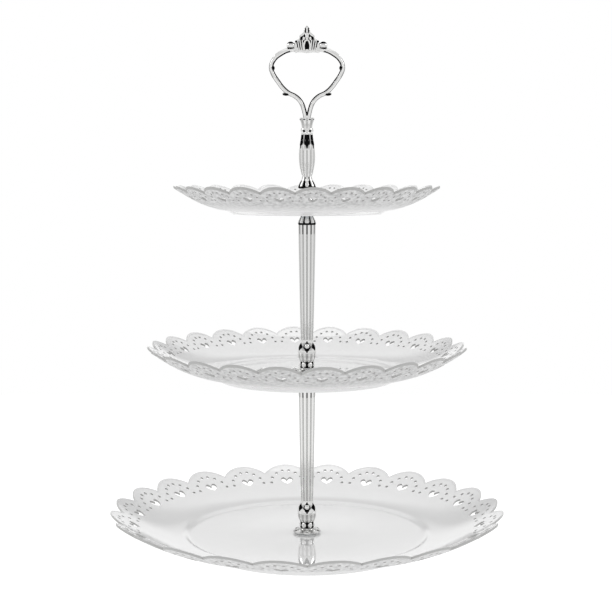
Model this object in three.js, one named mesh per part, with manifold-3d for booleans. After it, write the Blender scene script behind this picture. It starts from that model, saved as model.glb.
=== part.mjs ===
// Tiered cake stand: three scalloped lace plates threaded on fluted columns under a crown handle.
// Millimetres, +Z up. The origin is on the table, under the middle of the bottom plate.
import * as THREE from 'three';
import { mergeVertices } from 'three/addons/utils/BufferGeometryUtils.js';
import Module from 'manifold-3d';

const wasm = await Module();
wasm.setup();

// ---------------------------------------------------------------- driving dimensions

// Fastenings, gaskets, washers and rosettes, which the columns and the handle share.
const STUD = 3;               // radius of an M6 thread
const THREAD_CLEARANCE = 0.25; // radial, between a stud and its tapped hole
const RING_CLEARANCE = 0.5;   // radial, between a stud and the rings on it
const PLATE_CLEARANCE = 0.6;  // radial, between a stud and a plate's hole
const THREAD_GRIP = 10.5;     // length of thread inside a column's foot
const TAP_DEPTH = 13;         // depth of the tapped hole in a foot
const STUD_ROOT = 12;         // length of stud glued into the top of a column
const SEAT_GAP = 0.1;         // between faces that turn on each other
const TABLE_CLEARANCE = 1.5;  // from the base screw's head to the table
const GASKET = { radius: 8.5, thick: 0.8 };
const WASHER = { radius: 6.8, thick: 1 };
const ROSETTE = { radius: 10, hub: 5.6, thick: 2.4, edge: 1.1, petals: 8, notch: 0.9 };
const SCREW_HEAD = { radius: 6, thick: 2.6, slotWidth: 1.4, slotDepth: 1.2 };
const PLATE_SHEET = 2.2;      // thickness of a plate's moulding

const TAP = STUD + THREAD_CLEARANCE;
const RING_HOLE = STUD + RING_CLEARANCE;
// What lies between a column's foot and the floor of the dish that it stands in.
const FOOT_HEIGHT = GASKET.thick + SEAT_GAP + ROSETTE.thick + SEAT_GAP;
// What lies between the top of a column and the floor of the dish that it carries.
const SEAT_HEIGHT = WASHER.thick + SEAT_GAP + GASKET.thick + PLATE_SHEET;
const STUD_REACH = SEAT_HEIGHT + FOOT_HEIGHT + THREAD_GRIP;
const BASE_DROP = SEAT_HEIGHT + SCREW_HEAD.thick + TABLE_CLEARANCE;

// Each plate is moulded in plastic. rise is from the floor of its dish to the top of its rim,
// drop from that floor to the underside of its foot, footInset from the step round the dish
// to the foot, and turn is how far the plate has been turned about the column, in degrees.
const PLATES = {
  bottom: { rim: 140, rise: 19.7, dish: 85.6, drop: BASE_DROP, footInset: 8, turn: 7.5 },
  middle: { rim: 112.9, rise: 20.6, dish: 63.3, drop: 4, footInset: 1.4, turn: 5.5 },
  top: { rim: 93.6, rise: 16.9, dish: 53.6, drop: 2.8, footInset: 1.4, turn: 2.5 },
};
const SCALLOPS = 24;          // round each rim
const SCALLOP_DEPTH = 0.212;  // of a scallop's width
const RIM_SHEET = 2.0;        // its upright thickness at the rim
const DISH_STEP = 2.4;        // height of the step round the dish
const DISH_STEP_RUN = 1.6;    // how far the step leans outwards
const STEP_WALL = 1.2;        // from the step's foot to the outside of its wall
const FLARE_POWER = 1.9;      // how the flare curls up, 1 would be a cone
const FOOT_WIDTH = 2.4;

// Columns and handle.
const COLUMN = 108.5;         // length of a column, foot to top
const HANDLE_COLUMN = 53.4;   // length of the handle's baluster
const FLUTES = 12;
const CUP = { height: 7.2, foot: 3.8, mouth: 5.3, hollow: 3.9, hollowDepth: 2.4 };
const LOOP_WIRE = 1.5;        // radius of the cast loop
const STEM = { radius: 2.2, clearance: 0.2, depth: 8 };
const CROWN_THICK = 4.4;      // front to back
const BALL = 2.8;             // radius of the balls beside the crown
const BUD = { radius: 2.6, height: 5.8 };

// ---------------------------------------------------------------- materials

const finishes = {
  plastic: { color: 0xf6f6f6, roughness: 0.22, metalness: 0 },
  chrome: { color: 0xdcdee0, roughness: 0.08, metalness: 1 },
  zinc: { color: 0xb9bcbf, roughness: 0.35, metalness: 1 },
  gasket: { color: 0xe9ebec, roughness: 0.5, metalness: 0 },
};

function piece(name, geometry, finish) {
  const mesh = new THREE.Mesh(geometry, new THREE.MeshStandardMaterial(finishes[finish]));
  mesh.name = name;
  return mesh;
}

function place(object, z, turn = 0) {
  object.position.z = z;
  object.rotation.z = THREE.MathUtils.degToRad(turn);
  return object;
}

// ---------------------------------------------------------------- solids

// A closed manifold solid, with its shared corners merged and collapsed faces left out.
function solid(geometry) {
  const bare = geometry.clone();
  bare.deleteAttribute('normal');
  bare.deleteAttribute('uv');
  const merged = mergeVertices(bare, 1e-4);
  const corners = [];
  for (let i = 0; i < merged.index.count; i += 3) {
    const [a, b, c] = [0, 1, 2].map((k) => merged.index.getX(i + k));
    if (a !== b && b !== c && c !== a) corners.push(a, b, c);
  }
  const vertProperties = Float32Array.from(merged.attributes.position.array);
  const triVerts = Uint32Array.from(corners);
  return new wasm.Manifold(new wasm.Mesh({ numProp: 3, vertProperties, triVerts }));
}

function geometryOf(manifold) {
  const mesh = manifold.getMesh();
  const geometry = new THREE.BufferGeometry();
  geometry.setAttribute('position', new THREE.BufferAttribute(mesh.vertProperties, 3));
  geometry.setIndex(new THREE.BufferAttribute(mesh.triVerts, 1));
  geometry.computeVertexNormals();
  return geometry;
}

// Turns a profile of [radius, z] points, anticlockwise round the section, about the Z axis.
// The first spoke of the turned shape points along -Y.
function turned(profile, segments) {
  const points = profile.map(([radius, z]) => new THREE.Vector2(radius, z));
  return new THREE.LatheGeometry(points, segments).rotateX(Math.PI / 2);
}

// The same, with a wave pressed into it, deepest in front, on the first spoke.
// Each point of the profile is [radius, z, depth].
function fluted(profile, count, stepsPerFlute) {
  const geometry = turned(profile, count * stepsPerFlute);
  const position = geometry.attributes.position;
  for (let i = 0; i < position.count; i += 1) {
    const depth = profile[i % profile.length][2] ?? 0;
    const radius = Math.hypot(position.getX(i), position.getY(i));
    const angle = Math.atan2(position.getX(i), -position.getY(i));
    const scale = depth ? 1 - (depth * (1 + Math.cos(count * angle))) / 2 / radius : 1;
    position.setX(i, position.getX(i) * scale);
    position.setY(i, position.getY(i) * scale);
  }
  return geometry;
}

function ring(inner, outer, height, segments = 20) {
  const profile = [[inner, 0], [outer, 0], [outer, height], [inner, height], [inner, 0]];
  return turned(profile, segments);
}

function rod(radius, z0, z1, segments = 16) {
  return turned([[0, z0], [radius, z0], [radius, z1], [0, z1]], segments);
}

// ---------------------------------------------------------------- plates

// One scallop is an arc through its crest, on the rim, and the two valleys beside it.
function scallopArc(rim) {
  const half = Math.PI / SCALLOPS;
  const depth = SCALLOP_DEPTH * 2 * half * rim;
  const valley = rim - depth;
  const fall = rim - valley * Math.cos(half);
  const side = valley * Math.sin(half);
  const radius = (fall ** 2 + side ** 2) / (2 * fall);
  return { centre: rim - radius, radius, sweep: Math.atan2(side, radius - fall), width: 2 * side };
}

function scallopedOutline(rim, steps) {
  const arc = scallopArc(rim);
  const points = [];
  for (let i = 0; i < SCALLOPS * steps; i += 1) {
    const along = arc.sweep * ((2 * (i % steps)) / steps - 1);
    const middle = (2 * Math.PI * Math.floor(i / steps)) / SCALLOPS;
    const point = new THREE.Vector2(arc.radius * Math.cos(along), arc.radius * Math.sin(along));
    point.x += arc.centre;
    points.push(point.rotateAround(new THREE.Vector2(), middle));
  }
  return new THREE.Shape(points);
}

// The heart-shaped hole in each scallop: lobes outwards, point inwards, in shares of its width.
const HEART = [[0, 0.14], [0.27, 0.33], [0.5, 0.12], [0, -0.33]];
const HEART_WIDTH = 0.26;     // of a scallop's width
const HEART_INSET = 0.464;    // from the rim to the heart's middle, of a scallop's width

function hearts(rim) {
  const { width } = scallopArc(rim);
  const size = HEART_WIDTH * width;
  const mirrored = HEART.slice(1, -1).reverse().map(([across, out]) => [-across, out]);
  return Array.from({ length: SCALLOPS }, (_, i) => {
    const points = [...HEART, ...mirrored].map(([across, out]) => {
      const point = new THREE.Vector2(rim - HEART_INSET * width + out * size, -across * size);
      return point.rotateAround(new THREE.Vector2(), (2 * Math.PI * i) / SCALLOPS);
    });
    return new THREE.Shape(points);
  });
}

// The floor of the dish is at z = 0, the foot below it, and the flare rises to the rim.
function plate({ rim, rise, dish, drop, footInset }) {
  const flareStart = dish + DISH_STEP_RUN;
  const top = (share) => [
    flareStart + (rim - flareStart) * share,
    DISH_STEP + (rise - DISH_STEP) * share ** FLARE_POWER,
  ];
  const under = (share) => {
    const [radius, z] = top(share);
    return [radius, z - PLATE_SHEET - (RIM_SHEET - PLATE_SHEET) * share];
  };
  const hole = STUD + PLATE_CLEARANCE;
  const past = 1.08;
  const stepWall = dish + STEP_WALL;
  const foot = stepWall - footInset;
  const profile = [
    [hole, -PLATE_SHEET],
    [foot - FOOT_WIDTH, -PLATE_SHEET],
    [foot - FOOT_WIDTH, -drop],
    [foot, -drop],
    [foot, -PLATE_SHEET],
    [stepWall, -PLATE_SHEET],
    [flareStart + STEP_WALL, DISH_STEP - PLATE_SHEET],
    ...[0.4, 0.75, past].map(under),
    ...[past, 0.75, 0.4].map(top),
    [flareStart, DISH_STEP],
    [dish, 0],
    [hole, 0],
    [hole, -PLATE_SHEET],
  ];
  const body = solid(turned(profile, SCALLOPS * 2));
  const tall = { depth: 2 * (rise + drop), bevelEnabled: false };
  const upright = (shapes) => {
    return solid(new THREE.ExtrudeGeometry(shapes, tall).translate(0, 0, -rise - drop));
  };
  const scalloped = body.intersect(upright(scallopedOutline(rim, 4)));
  return geometryOf(scalloped.subtract(upright(hearts(rim))));
}

// ---------------------------------------------------------------- rings and fastenings

function rosette() {
  const notch = ROSETTE.notch;
  const profile = [
    [RING_HOLE, 0],
    [ROSETTE.radius, 0, notch],
    [ROSETTE.radius, ROSETTE.edge, notch],
    [ROSETTE.hub, ROSETTE.thick],
    [RING_HOLE, ROSETTE.thick],
    [RING_HOLE, 0],
  ];
  return fluted(profile, ROSETTE.petals, 2);
}

// A pan-head screw, head downwards; z = 0 is the face of the head that meets the washer.
function baseScrew() {
  const { radius, thick, slotWidth, slotDepth } = SCREW_HEAD;
  const profile = [
    [0, -thick],
    [radius * 0.72, -thick],
    [radius, -thick * 0.45],
    [radius, 0],
    [STUD, 0],
    [STUD, STUD_REACH],
    [0, STUD_REACH],
  ];
  const slots = [0, Math.PI / 2].map((turn) => {
    const slot = new THREE.BoxGeometry(radius * 1.1, slotWidth, slotDepth * 2);
    return solid(slot.rotateZ(turn).translate(0, 0, -thick));
  });
  return geometryOf(solid(turned(profile, 20)).subtract(slots[0].add(slots[1])));
}

// ---------------------------------------------------------------- columns

// The foot that columns and handle share: a ring of beads on the rosette.
const BEAD_RING = [
  [4.5, 0, 0],
  [5.15, 1.2, 0.5],
  [5.15, 3.2, 0.5],
  [4.5, 4.8, 0],
];

// z = 0 is the foot. Both ends are bored: the foot is tapped, the top holds the next stud.
function column() {
  const profile = [
    [0, TAP_DEPTH],
    [TAP, TAP_DEPTH],
    [TAP, 0],
    ...BEAD_RING,
    [5.3, 5.6, 0.3],
    [6.7, 10.1, 0.6],
    [6.2, 14, 0.5],
    [4.8, 18.3, 0.2],
    [4.3, 20, 0.5],
    [5.1, COLUMN * 0.36, 0.7],
    [6.25, COLUMN * 0.9, 0.9],
    [6.3, COLUMN - 5.1, 0.6],
    [5.5, COLUMN - 2.6, 0.5],
    [4.4, COLUMN, 0],
    [TAP, COLUMN],
    [TAP, COLUMN - STUD_ROOT],
    [0, COLUMN - STUD_ROOT],
  ];
  return fluted(profile, FLUTES, 2);
}

// z = 0 is the foot, which screws onto the last stud; the top is bored for the loop's stem.
function handleColumn() {
  const bore = STEM.radius + STEM.clearance;
  const profile = [
    [0, TAP_DEPTH],
    [TAP, TAP_DEPTH],
    [TAP, 0],
    ...BEAD_RING,
    [4.2, 7, 0],
    [4.6, 11.4, 0],
    [6.1, 12.2, 0.7],
    [6.15, 13.4, 0.7],
    [3.4, 19.7, 0],
    [5.85, HANDLE_COLUMN * 0.65, 0.7],
    [4.85, HANDLE_COLUMN * 0.78, 0.6],
    [4.1, HANDLE_COLUMN - 4.6, 0.3],
    [4.4, HANDLE_COLUMN - 1, 0.3],
    [3.9, HANDLE_COLUMN, 0],
    [bore, HANDLE_COLUMN],
    [bore, HANDLE_COLUMN - STEM.depth],
    [0, HANDLE_COLUMN - STEM.depth],
  ];
  return fluted(profile, FLUTES, 2);
}

// ---------------------------------------------------------------- handle head

function handleCup() {
  const bore = STEM.radius + STEM.clearance;
  const profile = [
    [bore, 0],
    [CUP.foot, 0],
    [CUP.foot + 0.5, CUP.height * 0.5, 0.2],
    [CUP.mouth, CUP.height, 0.6],
    [CUP.hollow, CUP.height],
    [bore, CUP.height - CUP.hollowDepth],
    [bore, 0],
  ];
  return fluted(profile, FLUTES, 2);
}

// Half of the loop, from the stem up to the crown; z = 0 is the rim of the cup.
const LOOP_PATH = [
  [0.4, 0.3],
  [3.2, 9.4],
  [7.4, 14.5],
  [12.9, 17.1],
  [16.6, 20.4],
  [20.1, 25],
  [24.3, 31.4],
  [25.2, 35.1],
  [22.9, 40.2],
  [18.4, 44],
  [12.9, 46.5],
  [6, 47.6],
];
const CROWN_BASE = 45.9;      // above the rim of the cup
const CROWN_OUTLINE = [[8.4, 0], [8, 5.6], [4.8, 9.8], [1.6, 12.4]];
const ARCH = { halfWidth: 1.5, foot: 2.4, height: 5.2 };
const BALL_PLACE = [11.3, 49.7];
const THORN = { from: [12.6, 17.2], to: [16.4, 16.4], root: 1.3, tip: 0.6 };

function loopHalf(side) {
  const points = LOOP_PATH.map(([x, z]) => new THREE.Vector3(side * x, 0, z));
  const section = new THREE.Shape();
  section.absarc(0, 0, LOOP_WIRE, 0, 2 * Math.PI);
  const path = new THREE.CatmullRomCurve3(points);
  const options = { steps: 24, curveSegments: 4, extrudePath: path, bevelEnabled: false };
  return solid(new THREE.ExtrudeGeometry(section, options));
}

function thorn(side) {
  const [from, to] = [THORN.from, THORN.to].map(([x, z]) => new THREE.Vector3(side * x, 0, z));
  const along = to.clone().sub(from);
  const cone = new THREE.CylinderGeometry(THORN.tip, THORN.root, along.length(), 8);
  const up = new THREE.Vector3(0, 1, 0);
  cone.applyQuaternion(new THREE.Quaternion().setFromUnitVectors(up, along.normalize()));
  return solid(cone.translate(...from.add(to).multiplyScalar(0.5)));
}

function crown() {
  const right = CROWN_OUTLINE.map(([x, z]) => new THREE.Vector2(x, z));
  const left = CROWN_OUTLINE.map(([x, z]) => new THREE.Vector2(-x, z)).reverse();
  const shape = new THREE.Shape([...right, ...left]);
  const arch = new THREE.Path();
  arch.moveTo(-ARCH.halfWidth, ARCH.foot);
  arch.lineTo(ARCH.halfWidth, ARCH.foot);
  arch.lineTo(ARCH.halfWidth, ARCH.foot + ARCH.height - ARCH.halfWidth);
  arch.absarc(0, ARCH.foot + ARCH.height - ARCH.halfWidth, ARCH.halfWidth, 0, Math.PI);
  shape.holes.push(arch);
  const options = { depth: CROWN_THICK, bevelEnabled: false, curveSegments: 4 };
  const slab = new THREE.ExtrudeGeometry(shape, options).rotateX(Math.PI / 2);
  return solid(slab.translate(0, CROWN_THICK / 2, CROWN_BASE));
}

function bud() {
  const top = CROWN_BASE + CROWN_OUTLINE.at(-1)[1] - 0.5;
  const profile = [
    [0, top],
    [BUD.radius * 0.6, top],
    [BUD.radius, top + BUD.height * 0.4],
    [BUD.radius * 0.55, top + BUD.height * 0.8],
    [0, top + BUD.height],
  ];
  return solid(turned(profile, 12));
}

function crownLoop() {
  const stem = solid(rod(STEM.radius, -CUP.height - STEM.depth, LOOP_WIRE));
  const parts = [stem, crown(), bud()];
  for (const side of [-1, 1]) {
    const ball = new THREE.SphereGeometry(BALL, 12, 8).rotateX(Math.PI / 2);
    parts.push(loopHalf(side), thorn(side));
    parts.push(solid(ball.translate(side * BALL_PLACE[0], 0, BALL_PLACE[1])));
  }
  return geometryOf(parts.reduce((whole, part) => whole.add(part)));
}

// ---------------------------------------------------------------- assembly

const gasketRing = () => ring(RING_HOLE, GASKET.radius, GASKET.thick);
const washerRing = () => ring(RING_HOLE, WASHER.radius, WASHER.thick);

// A plate with the two gaskets it is nipped between; z = 0 is the floor of its dish.
function tier(name, sizes) {
  const group = new THREE.Group();
  group.add(place(piece(`${name}_plate`, plate(sizes), 'plastic'), 0, sizes.turn));
  group.add(piece(`${name}_gasket_over`, gasketRing(), 'gasket'));
  const under = piece(`${name}_gasket_under`, gasketRing(), 'gasket');
  group.add(place(under, -PLATE_SHEET - GASKET.thick));
  return group;
}

// A rosette and the column that stands on it; z = 0 is the floor of the dish below.
function post(name) {
  const group = new THREE.Group();
  group.add(place(piece(`${name}_rosette`, rosette(), 'chrome'), GASKET.thick + SEAT_GAP));
  group.add(place(piece(`${name}_column`, column(), 'chrome'), FOOT_HEIGHT));
  const stud = piece(`${name}_stud`, rod(STUD, -STUD_ROOT, STUD_REACH), 'zinc');
  group.add(place(stud, FOOT_HEIGHT + COLUMN));
  const washer = piece(`${name}_seat_washer`, washerRing(), 'zinc');
  group.add(place(washer, FOOT_HEIGHT + COLUMN));
  return group;
}

function handle() {
  const group = new THREE.Group();
  group.add(place(piece('handle_rosette', rosette(), 'chrome'), GASKET.thick + SEAT_GAP));
  group.add(place(piece('handle_column', handleColumn(), 'chrome'), FOOT_HEIGHT));
  const top = FOOT_HEIGHT + HANDLE_COLUMN;
  group.add(place(piece('handle_cup', handleCup(), 'chrome'), top));
  group.add(place(piece('crown_loop', crownLoop(), 'chrome'), top + CUP.height));
  return group;
}

const pitch = FOOT_HEIGHT + COLUMN + SEAT_HEIGHT;   // from one dish floor to the next
const bottomFloor = PLATES.bottom.drop;
const middleFloor = bottomFloor + pitch;
const topFloor = middleFloor + pitch;
const stand = new THREE.Group();

stand.add(place(tier('bottom', PLATES.bottom), bottomFloor));
stand.add(place(tier('middle', PLATES.middle), middleFloor));
stand.add(place(tier('top', PLATES.top), topFloor));
stand.add(place(post('lower'), bottomFloor));
stand.add(place(post('upper'), middleFloor));
stand.add(place(handle(), topFloor));

const screwSeat = bottomFloor - SEAT_HEIGHT;
stand.add(place(piece('base_screw', baseScrew(), 'zinc'), screwSeat));
stand.add(place(piece('base_washer', washerRing(), 'zinc'), screwSeat));

export default stand;
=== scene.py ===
# %% [markdown]
# # A tiered cake stand
#
# Three white plastic plates with lace rims are threaded on chrome-plated columns, and a
# crowned loop on top is the handle. The CAD frame gives every place and size. This file
# puts the finer pieces round it: pierced lace, reeded columns, the crown and the finishes.

# %% Load the frame
import math

import bpy
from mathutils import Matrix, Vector


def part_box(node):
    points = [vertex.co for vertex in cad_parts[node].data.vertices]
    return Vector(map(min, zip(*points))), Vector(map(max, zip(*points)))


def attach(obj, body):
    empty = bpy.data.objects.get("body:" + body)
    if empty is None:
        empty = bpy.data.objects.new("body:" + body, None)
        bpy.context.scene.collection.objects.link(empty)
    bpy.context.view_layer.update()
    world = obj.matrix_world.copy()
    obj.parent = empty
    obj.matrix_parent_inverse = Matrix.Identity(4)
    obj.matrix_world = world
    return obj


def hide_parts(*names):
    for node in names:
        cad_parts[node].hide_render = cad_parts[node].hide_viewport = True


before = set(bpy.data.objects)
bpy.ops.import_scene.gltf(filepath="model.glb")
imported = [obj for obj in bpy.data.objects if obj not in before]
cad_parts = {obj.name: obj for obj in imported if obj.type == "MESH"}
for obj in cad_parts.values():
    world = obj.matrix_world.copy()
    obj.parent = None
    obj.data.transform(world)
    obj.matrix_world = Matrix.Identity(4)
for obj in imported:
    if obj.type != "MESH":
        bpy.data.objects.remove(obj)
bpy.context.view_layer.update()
MM = 0.001
print("frame loaded:", len(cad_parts), "nodes")


# %% [markdown]
# Blender's operators act on whatever is selected, and the frame arrives selected. So each
# piece starts with a clean selection, and one helper makes an object the only active one.
# Two more open a mesh for editing and close it again, because spinning or extruding can leave
# doubled points and faces that point inwards.

# %% Selection and editing helpers
def clear():
    bpy.ops.object.select_all(action="DESELECT")


def take(obj):
    clear()
    obj.select_set(True)
    bpy.context.view_layer.objects.active = obj


def started(name):
    """Names the object that an operator has just made active."""
    obj = bpy.context.active_object
    obj.name = obj.data.name = name
    return obj


def join(name, objects):
    take(objects[0])
    for obj in objects:
        obj.select_set(True)
    bpy.ops.object.join()
    return started(name)


def open_up(obj):
    """Enters edit mode with the whole mesh selected."""
    take(obj)
    bpy.ops.object.mode_set(mode="EDIT")
    bpy.ops.mesh.select_all(action="SELECT")


def close_up(merge=None):
    """Leaves edit mode, with points nearer than merge (in mm) joined and faces outwards."""
    bpy.ops.mesh.select_all(action="SELECT")
    if merge:
        bpy.ops.mesh.remove_doubles(threshold=merge * MM)
    bpy.ops.mesh.normals_make_consistent(inside=False)
    bpy.ops.object.mode_set(mode="OBJECT")


def pick(obj, kind, test):
    """Selects only the vertices or faces that pass the test; the object is in edit mode."""
    bpy.ops.mesh.select_all(action="DESELECT")
    bpy.ops.object.mode_set(mode="OBJECT")
    for element in getattr(obj.data, kind):
        element.select = test(element)
    bpy.ops.object.mode_set(mode="EDIT")


print("selection and editing helpers ready")


# %% [markdown]
# ## Finishes
#
# The plates are injection-moulded polystyrene: white right through, with the gloss of a
# polished mould inside, a frosted outside under the lace, and matt walls in the holes; the
# frosted outside and the walls are painted grey as shade. The castings are zinc alloy with
# bright chrome on them, which mirrors the room. Their grooves are painted grey and their deep
# recesses nearly black, as painted shade and painted reflection. The studs and washers are
# steel with a dull zinc plate, and the gaskets are soft milky vinyl.
#
# Each finish could be a picture wrapped round its piece, but a picture needs the surface
# unwrapped. Noise measured in millimetres fits every piece as it is, so each finish is a noise
# pattern that drives one shader.

# %% Node and colour helpers
def linear(hex_colour):
    """An sRGB hex colour as linear RGBA."""
    parts = [int(hex_colour[i:i + 2], 16) / 255 for i in (1, 3, 5)]
    return [p / 12.92 if p <= 0.04045 else ((p + 0.055) / 1.055) ** 2.4 for p in parts] + [1]


def add_node(tree, kind, settings=None, links=None):
    """Adds a node, sets its sockets or properties, and links its inputs."""
    node = tree.nodes.new(kind)
    for name, value in (settings or {}).items():
        if name in node.inputs:
            node.inputs[name].default_value = value
        else:
            setattr(node, name, value)
    for name, source in (links or {}).items():
        tree.links.new(source, node.inputs[name])
    return node


def new_material(name):
    material = bpy.data.materials.new(name)
    material.use_nodes = True
    material.node_tree.nodes.clear()
    return material, material.node_tree


print("mid grey #808080 in linear light:", round(linear("#808080")[0], 3))


# %% Moulded white polystyrene
# Polystyrene has an IOR of about 1.59. The polished mould leaves faint waves some 12 mm long,
# and a clear coat over the white stands for the mirror gloss of its polish.
plastic, tree = new_material("moulded_white_polystyrene")
place = add_node(tree, "ShaderNodeTexCoord")
waves = add_node(tree, "ShaderNodeTexNoise", {"Scale": 1 / (12 * MM), "Detail": 1.0},
                 {"Vector": place.outputs["Object"]})
gloss = add_node(tree, "ShaderNodeMapRange", {"To Min": 0.02, "To Max": 0.04},
                 {"Value": waves.outputs["Fac"]})
tint = add_node(tree, "ShaderNodeMapRange",
                {"To Min": linear("#EAEAEA")[0], "To Max": linear("#EDEDED")[0]},
                {"Value": waves.outputs["Fac"]})
white = add_node(tree, "ShaderNodeCombineColor", {},
                 {"Red": tint.outputs[0], "Green": tint.outputs[0], "Blue": tint.outputs[0]})
shader = add_node(tree, "ShaderNodeBsdfPrincipled",
                  {"IOR": 1.59, "Coat Weight": 1.0, "Coat Roughness": 0.02, "Coat IOR": 1.7},
                  {"Base Color": white.outputs[0], "Roughness": gloss.outputs[0]})
add_node(tree, "ShaderNodeOutputMaterial", {}, {"Surface": shader.outputs[0]})
print("plastic ready")

# %% Walls of the holes and of the edge
# The walls of the holes and of the edge are left matt, and their grey colour is painted
# shade, for the shadow inside the holes and along the edge. Their drag marks are finer than
# 1 mm, and are drawn that coarse so that they show.
painted_wall_shade, tree = new_material("matt_cut_walls_with_painted_shade")
place = add_node(tree, "ShaderNodeTexCoord")
drag = add_node(tree, "ShaderNodeTexNoise", {"Scale": 1 / MM, "Detail": 2.0},
                {"Vector": place.outputs["Object"]})
matt = add_node(tree, "ShaderNodeMapRange", {"To Min": 0.5, "To Max": 0.65},
                {"Value": drag.outputs["Fac"]})
shader = add_node(tree, "ShaderNodeBsdfPrincipled",
                  {"Base Color": linear("#B2B2B1"), "IOR": 1.59}, {"Roughness": matt.outputs[0]})
add_node(tree, "ShaderNodeOutputMaterial", {}, {"Surface": shader.outputs[0]})
print("skin of the cut walls ready")

# %% Frosted outside of a plate, with painted shade
# The mould is etched under the lace, so the outside is frosted there, with a grain. It is also
# painted greyer there, as painted shade on the sloping underside, and the grey fades out where
# the sheet levels off. The etched grain is finer than 2.5 mm, and is drawn that coarse so that
# it shows.
frost_and_shade, tree = new_material("frosted_outside_with_painted_shade")
place = add_node(tree, "ShaderNodeTexCoord")
etch = add_node(tree, "ShaderNodeTexNoise", {"Scale": 1 / (2.5 * MM), "Detail": 3.0},
                {"Vector": place.outputs["Object"]})
tint = add_node(tree, "ShaderNodeMapRange",
                {"From Min": 0.35, "From Max": 0.65,
                 "To Min": linear("#BCBCBC")[0], "To Max": linear("#DFDFDF")[0]},
                {"Value": etch.outputs["Fac"]})
facing = add_node(tree, "ShaderNodeSeparateXYZ", {}, {"Vector": place.outputs["Normal"]})
# The grey that follows the slope of the face is painted shade.
fade = add_node(tree, "ShaderNodeMapRange",
                {"From Min": -0.98, "From Max": -0.91, "To Min": linear("#ECECEC")[0]},
                {"Value": facing.outputs["Z"], "To Max": tint.outputs[0]})
grey = add_node(tree, "ShaderNodeCombineColor", {},
                {"Red": fade.outputs[0], "Green": fade.outputs[0], "Blue": fade.outputs[0]})
shader = add_node(tree, "ShaderNodeBsdfPrincipled", {"IOR": 1.59, "Roughness": 0.45},
                  {"Base Color": grey.outputs[0]})
add_node(tree, "ShaderNodeOutputMaterial", {}, {"Surface": shader.outputs[0]})
print("frost ready")

# %% Bright chrome plate on a casting
# Chrome is a neutral mirror. The cast surface under it still undulates over a few mm.
chrome, tree = new_material("bright_chrome_plate")
place = add_node(tree, "ShaderNodeTexCoord")
cast = add_node(tree, "ShaderNodeTexNoise", {"Scale": 1 / (3 * MM), "Detail": 2.0},
                {"Vector": place.outputs["Object"]})
polish = add_node(tree, "ShaderNodeMapRange", {"To Min": 0.08, "To Max": 0.16},
                  {"Value": cast.outputs["Fac"]})
bump = add_node(tree, "ShaderNodeBump", {"Strength": 0.06, "Distance": 0.1 * MM},
                {"Height": cast.outputs["Fac"]})
shader = add_node(tree, "ShaderNodeBsdfPrincipled",
                  {"Base Color": linear("#E6E6E5"), "Metallic": 1.0},
                  {"Roughness": polish.outputs[0], "Normal": bump.outputs[0]})
add_node(tree, "ShaderNodeOutputMaterial", {}, {"Surface": shader.outputs[0]})
print("chrome ready")

# %% Painted grey shade in the grooves
# The grooves are painted greyer and less bright than the reeds, as painted shade between
# them, and their roughness is uneven over about 2 mm.
groove_shade, tree = new_material("painted_shade_in_grooves")
place = add_node(tree, "ShaderNodeTexCoord")
grain = add_node(tree, "ShaderNodeTexNoise", {"Scale": 1 / (2 * MM), "Detail": 2.0},
                 {"Vector": place.outputs["Object"]})
matt = add_node(tree, "ShaderNodeMapRange", {"To Min": 0.2, "To Max": 0.32},
                {"Value": grain.outputs["Fac"]})
shader = add_node(tree, "ShaderNodeBsdfPrincipled",
                  {"Base Color": linear("#C4C4C3"), "Metallic": 1.0},
                  {"Roughness": matt.outputs[0]})
add_node(tree, "ShaderNodeOutputMaterial", {}, {"Surface": shader.outputs[0]})
print("groove finish ready")

# %% Painted dark shade and reflection
# Deep recesses, the gaps between parts and the dark bands that chrome mirrors are painted
# nearly black, as painted shade and painted reflection, with a grain of about 1 mm. A dark
# specular tint keeps it dark at a glancing angle too.
dark, tree = new_material("painted_dark_shade_and_reflection")
place = add_node(tree, "ShaderNodeTexCoord")
grain = add_node(tree, "ShaderNodeTexNoise", {"Scale": 1 / MM, "Detail": 2.0},
                 {"Vector": place.outputs["Object"]})
matt = add_node(tree, "ShaderNodeMapRange", {"To Min": 0.4, "To Max": 0.55},
                {"Value": grain.outputs["Fac"]})
shader = add_node(tree, "ShaderNodeBsdfPrincipled",
                  {"Base Color": linear("#121213"), "Metallic": 1.0,
                   "Specular Tint": linear("#3A3A3A")}, {"Roughness": matt.outputs[0]})
add_node(tree, "ShaderNodeOutputMaterial", {}, {"Surface": shader.outputs[0]})
print("recess finish ready")

# %% Dull zinc plate on steel
# Zinc plate is a bluish, half matt metal. Its crystals are finer than 0.8 mm, and are drawn that
# coarse so that they show.
zinc, tree = new_material("zinc_plated_steel")
place = add_node(tree, "ShaderNodeTexCoord")
spangle = add_node(tree, "ShaderNodeTexNoise", {"Scale": 1 / (0.8 * MM), "Detail": 3.0},
                   {"Vector": place.outputs["Object"]})
matt = add_node(tree, "ShaderNodeMapRange", {"To Min": 0.3, "To Max": 0.45},
                {"Value": spangle.outputs["Fac"]})
shader = add_node(tree, "ShaderNodeBsdfPrincipled",
                  {"Base Color": linear("#C2C5C8"), "Metallic": 1.0},
                  {"Roughness": matt.outputs[0]})
add_node(tree, "ShaderNodeOutputMaterial", {}, {"Surface": shader.outputs[0]})
print("zinc ready")

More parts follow.
